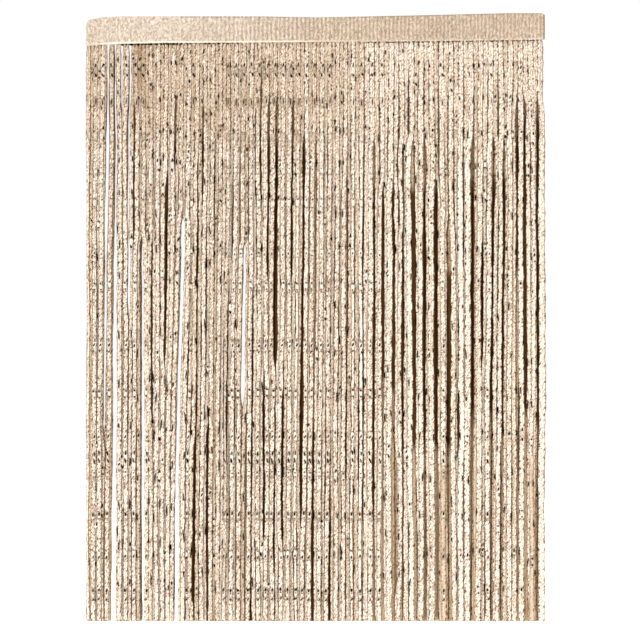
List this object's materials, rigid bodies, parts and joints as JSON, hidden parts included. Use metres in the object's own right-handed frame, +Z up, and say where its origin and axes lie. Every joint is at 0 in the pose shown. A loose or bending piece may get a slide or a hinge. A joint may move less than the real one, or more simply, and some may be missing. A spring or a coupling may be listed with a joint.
{
  "type": "sequin string curtain",
  "caption": "Cream string curtain: flat knitted strings set with oval sequins hang in a thick fringe from a ribbed header tape.",
  "frame": {"origin": "top edge of the header tape at mid width, where the curtain is held", "axes": "+X along the tape to the right as seen from the front, +Y from the front to the back, +Z up; the curtain hangs down -Z"},
  "size_m": [0.9005, 0.0158, 1.193],
  "materials": {
    "tape": "ribbed woven polyester tape, cream, matt",
    "string": "flat knitted polyester string, cream to beige, soft sheen",
    "inner_string": "flat knitted polyester string, dark brown, matt",
    "sequin": "pressed oval sequin, pearly champagne, glossy"
  },
  "bodies": {
    "root": {"header_tape": "tape", "strings_front": "string", "strings_inner": "inner_string", "strings_back": "string"}
  },
  "joints": []
}
